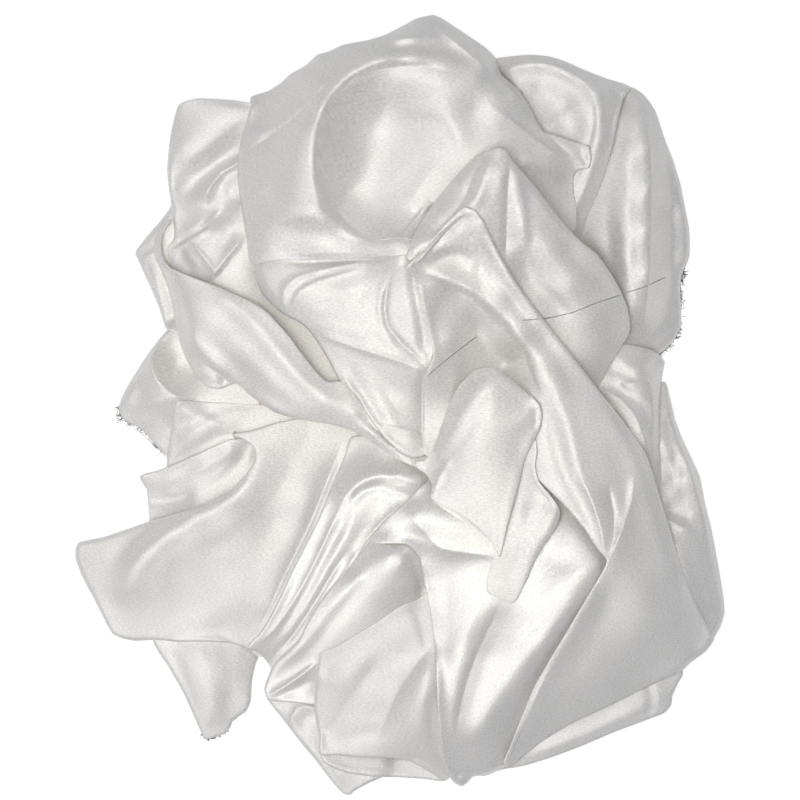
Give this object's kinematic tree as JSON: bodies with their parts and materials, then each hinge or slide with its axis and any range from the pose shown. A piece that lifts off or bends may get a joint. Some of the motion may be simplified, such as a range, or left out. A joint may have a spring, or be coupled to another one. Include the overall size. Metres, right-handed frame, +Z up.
{
  "type": "silk scarf",
  "caption": "Square silk satin scarf dropped in a loose heap of soft folds, with raw, slightly frayed edges.",
  "frame": {"origin": "centre of the heap's outline, on the surface that it rests on", "axes": "+Z up from that surface, +Y towards the tall rounded end of the heap, +X towards the long side with the frayed edge"},
  "size_m": [0.392, 0.471, 0.0739],
  "materials": {
    "satin": "white silk satin with a soft sheen",
    "hidden_satin": "white silk satin, hidden layers"
  },
  "bodies": {
    "root": {"hidden_layers": "hidden_satin", "left_corner": "satin", "left_panel": "satin", "left_roll": "satin", "tail_corner": "satin", "lower_left_flap": "satin", "bottom_left_corner": "satin", "pocket_lip": "satin", "bottom_strip": "satin", "white_panel": "satin", "back_band": "satin", "right_side_low": "satin", "right_side_panel": "satin", "left_peak": "satin", "pleat_fan": "satin", "lower_ridge": "satin", "bottom_pocket": "satin", "lower_fan": "satin", "upper_left_flap": "satin", "diagonal_band": "satin", "centre_swag": "satin", "crown": "satin", "right_sweep": "satin", "middle_sweep": "satin", "fold_strip": "satin", "lens_fold": "satin"}
  },
  "joints": []
}
